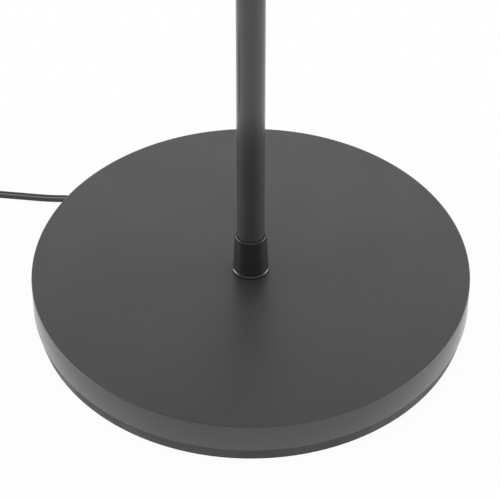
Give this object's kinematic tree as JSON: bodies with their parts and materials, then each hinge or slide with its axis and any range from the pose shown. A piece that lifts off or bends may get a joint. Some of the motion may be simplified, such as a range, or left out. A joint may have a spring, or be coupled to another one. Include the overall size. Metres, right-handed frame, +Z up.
{
  "type": "gooseneck reading floor lamp",
  "caption": "Floor lamp with a weighted round foot, a screwed tubular pole, a flexible neck that arcs over to a cone shade, a turn switch and a flat mains lead.",
  "frame": {"origin": "centre of the foot's underside, where it stands on the floor", "axes": "+Z up along the pole; the neck and shade reach towards -Y; +X to the right as seen from the front"},
  "size_m": [0.4445, 0.4262, 1.3914],
  "materials": {
    "black_powder_coat": "satin black powder coat, finely pebbled",
    "neck_steel": "satin black coated wound steel",
    "cast_iron_black": "black painted casting",
    "foam_pad": "black closed-cell foam",
    "plated_steel": "zinc-plated steel",
    "black_plastic": "black moulded plastic",
    "black_moulding": "black thermoset moulding",
    "cord_sheath": "dark grey flexible sheath",
    "brass_blades": "plain brass",
    "bulb_metal": "nickel-plated screw cap",
    "bulb_white": "white moulded housing",
    "bulb_opal": "opal dome"
  },
  "bodies": {
    "root": {"base_cover": "black_powder_coat", "base_weight": "cast_iron_black", "base_pad": "foam_pad", "base_nipple": "plated_steel", "base_washer": "plated_steel", "star_washer": "plated_steel", "base_nut": "plated_steel", "pole_collar": "black_plastic", "pole_inserts": "plated_steel", "pole_studs": "plated_steel", "pole_top_cap": "black_powder_coat", "neck_nipple": "plated_steel", "neck_base_ferrule": "black_powder_coat", "cord_bushing": "black_plastic", "pole_lower": "black_powder_coat", "pole_middle": "black_powder_coat", "pole_upper": "black_powder_coat", "pole_lead": "cord_sheath", "cord_free": "cord_sheath", "cord_coil": "cord_sheath", "plug_blades": "brass_blades", "plug_body": "cord_sheath"},
    "neck_01": {"neck_link_01": "neck_steel"},
    "neck_02": {"neck_link_02": "neck_steel"},
    "neck_03": {"neck_link_03": "neck_steel"},
    "neck_04": {"neck_link_04": "neck_steel"},
    "neck_05": {"neck_link_05": "neck_steel"},
    "neck_06": {"neck_link_06": "neck_steel"},
    "neck_07": {"neck_link_07": "neck_steel"},
    "neck_08": {"neck_link_08": "neck_steel"},
    "neck_09": {"neck_link_09": "neck_steel"},
    "neck_10": {"neck_link_10": "neck_steel"},
    "neck_11": {"neck_link_11": "neck_steel"},
    "neck_12": {"neck_link_12": "neck_steel"},
    "neck_13": {"neck_link_13": "neck_steel"},
    "neck_14": {"neck_link_14": "neck_steel"},
    "neck_15": {"neck_link_15": "neck_steel"},
    "neck_16": {"neck_link_16": "neck_steel"},
    "neck_17": {"neck_link_17": "neck_steel"},
    "head": {"head_ferrule": "black_powder_coat", "socket_cup": "black_powder_coat", "cup_nut": "plated_steel", "lampholder_body": "black_moulding", "lampholder_shell": "brass_blades", "centre_contact": "brass_blades", "head_lead": "cord_sheath", "shade": "black_powder_coat", "shade_ring": "black_moulding", "bulb_cap": "bulb_metal", "bulb_housing": "bulb_white", "bulb_globe": "bulb_opal", "switch_bushing": "plated_steel", "switch_nut": "plated_steel"},
    "switch": {"switch_knob": "black_plastic", "knob_stem": "plated_steel"}
  },
  "joints": [
    {"name": "neck_lean_01", "type": "hinge", "parent": "root", "child": "neck_01", "pos_m": [0, 0, 1.26335], "axis": [0, 1, 0], "range_deg": [-12, 12]},
    {"name": "neck_bend_01", "type": "hinge", "parent": "neck_01", "child": "neck_02", "pos_m": [0, 0, 1.28535], "axis": [1, 0, 0], "range_deg": [-26, 1]},
    {"name": "neck_bend_02", "type": "hinge", "parent": "neck_02", "child": "neck_03", "pos_m": [0, -0.00476, 1.30683], "axis": [1, 0, 0], "range_deg": [-34.3, 1.3]},
    {"name": "neck_lean_02", "type": "hinge", "parent": "neck_03", "child": "neck_04", "pos_m": [0, -0.01543, 1.32607], "axis": [0, 0.8746, 0.4848], "range_deg": [-12, 12]},
    {"name": "neck_bend_03", "type": "hinge", "parent": "neck_04", "child": "neck_05", "pos_m": [0, -0.02609, 1.34531], "axis": [1, 0, 0], "range_deg": [-34.3, 1.3]},
    {"name": "neck_bend_04", "type": "hinge", "parent": "neck_05", "child": "neck_06", "pos_m": [0, -0.04178, 1.36073], "axis": [1, 0, 0], "range_deg": [-34.3, 1.3]},
    {"name": "neck_lean_03", "type": "hinge", "parent": "neck_06", "child": "neck_07", "pos_m": [0, -0.06121, 1.37106], "axis": [0, 0.4695, 0.8829], "range_deg": [-12, 12]},
    {"name": "neck_bend_05", "type": "hinge", "parent": "neck_07", "child": "neck_08", "pos_m": [0, -0.08063, 1.38139], "axis": [1, 0, 0], "range_deg": [-34.3, 1.3]},
    {"name": "neck_bend_06", "type": "hinge", "parent": "neck_08", "child": "neck_09", "pos_m": [0, -0.10219, 1.38577], "axis": [1, 0, 0], "range_deg": [-34.3, 1.3]},
    {"name": "neck_lean_04", "type": "hinge", "parent": "neck_09", "child": "neck_10", "pos_m": [0, -0.12411, 1.38386], "axis": [0, -0.0872, 0.9962], "range_deg": [-12, 12]},
    {"name": "neck_bend_07", "type": "hinge", "parent": "neck_10", "child": "neck_11", "pos_m": [0, -0.14603, 1.38194], "axis": [1, 0, 0], "range_deg": [-34.3, 1.3]},
    {"name": "neck_bend_08", "type": "hinge", "parent": "neck_11", "child": "neck_12", "pos_m": [0, -0.16649, 1.37388], "axis": [1, 0, 0], "range_deg": [-34.3, 1.3]},
    {"name": "neck_lean_05", "type": "hinge", "parent": "neck_12", "child": "neck_13", "pos_m": [0, -0.18383, 1.36033], "axis": [0, -0.6157, 0.788], "range_deg": [-12, 12]},
    {"name": "neck_bend_09", "type": "hinge", "parent": "neck_13", "child": "neck_14", "pos_m": [0, -0.20117, 1.34679], "axis": [1, 0, 0], "range_deg": [-34.3, 1.3]},
    {"name": "neck_bend_10", "type": "hinge", "parent": "neck_14", "child": "neck_15", "pos_m": [0, -0.21394, 1.32888], "axis": [1, 0, 0], "range_deg": [-34.3, 1.3]},
    {"name": "neck_lean_06", "type": "hinge", "parent": "neck_15", "child": "neck_16", "pos_m": [0, -0.2211, 1.30808], "axis": [0, -0.9455, 0.3256], "range_deg": [-12, 12]},
    {"name": "neck_bend_11", "type": "hinge", "parent": "neck_16", "child": "neck_17", "pos_m": [0, -0.22827, 1.28727], "axis": [1, 0, 0], "range_deg": [-34.3, 1.3]},
    {"name": "neck_bend_12", "type": "hinge", "parent": "neck_17", "child": "head", "pos_m": [0, -0.22923, 1.2653], "axis": [1, 0, 0], "range_deg": [-16, 11]},
    {"name": "switch_turn", "type": "hinge", "parent": "head", "child": "switch", "pos_m": [0.03, -0.22923, 1.22029], "axis": [1, 0, 0], "continuous": true}
  ]
}
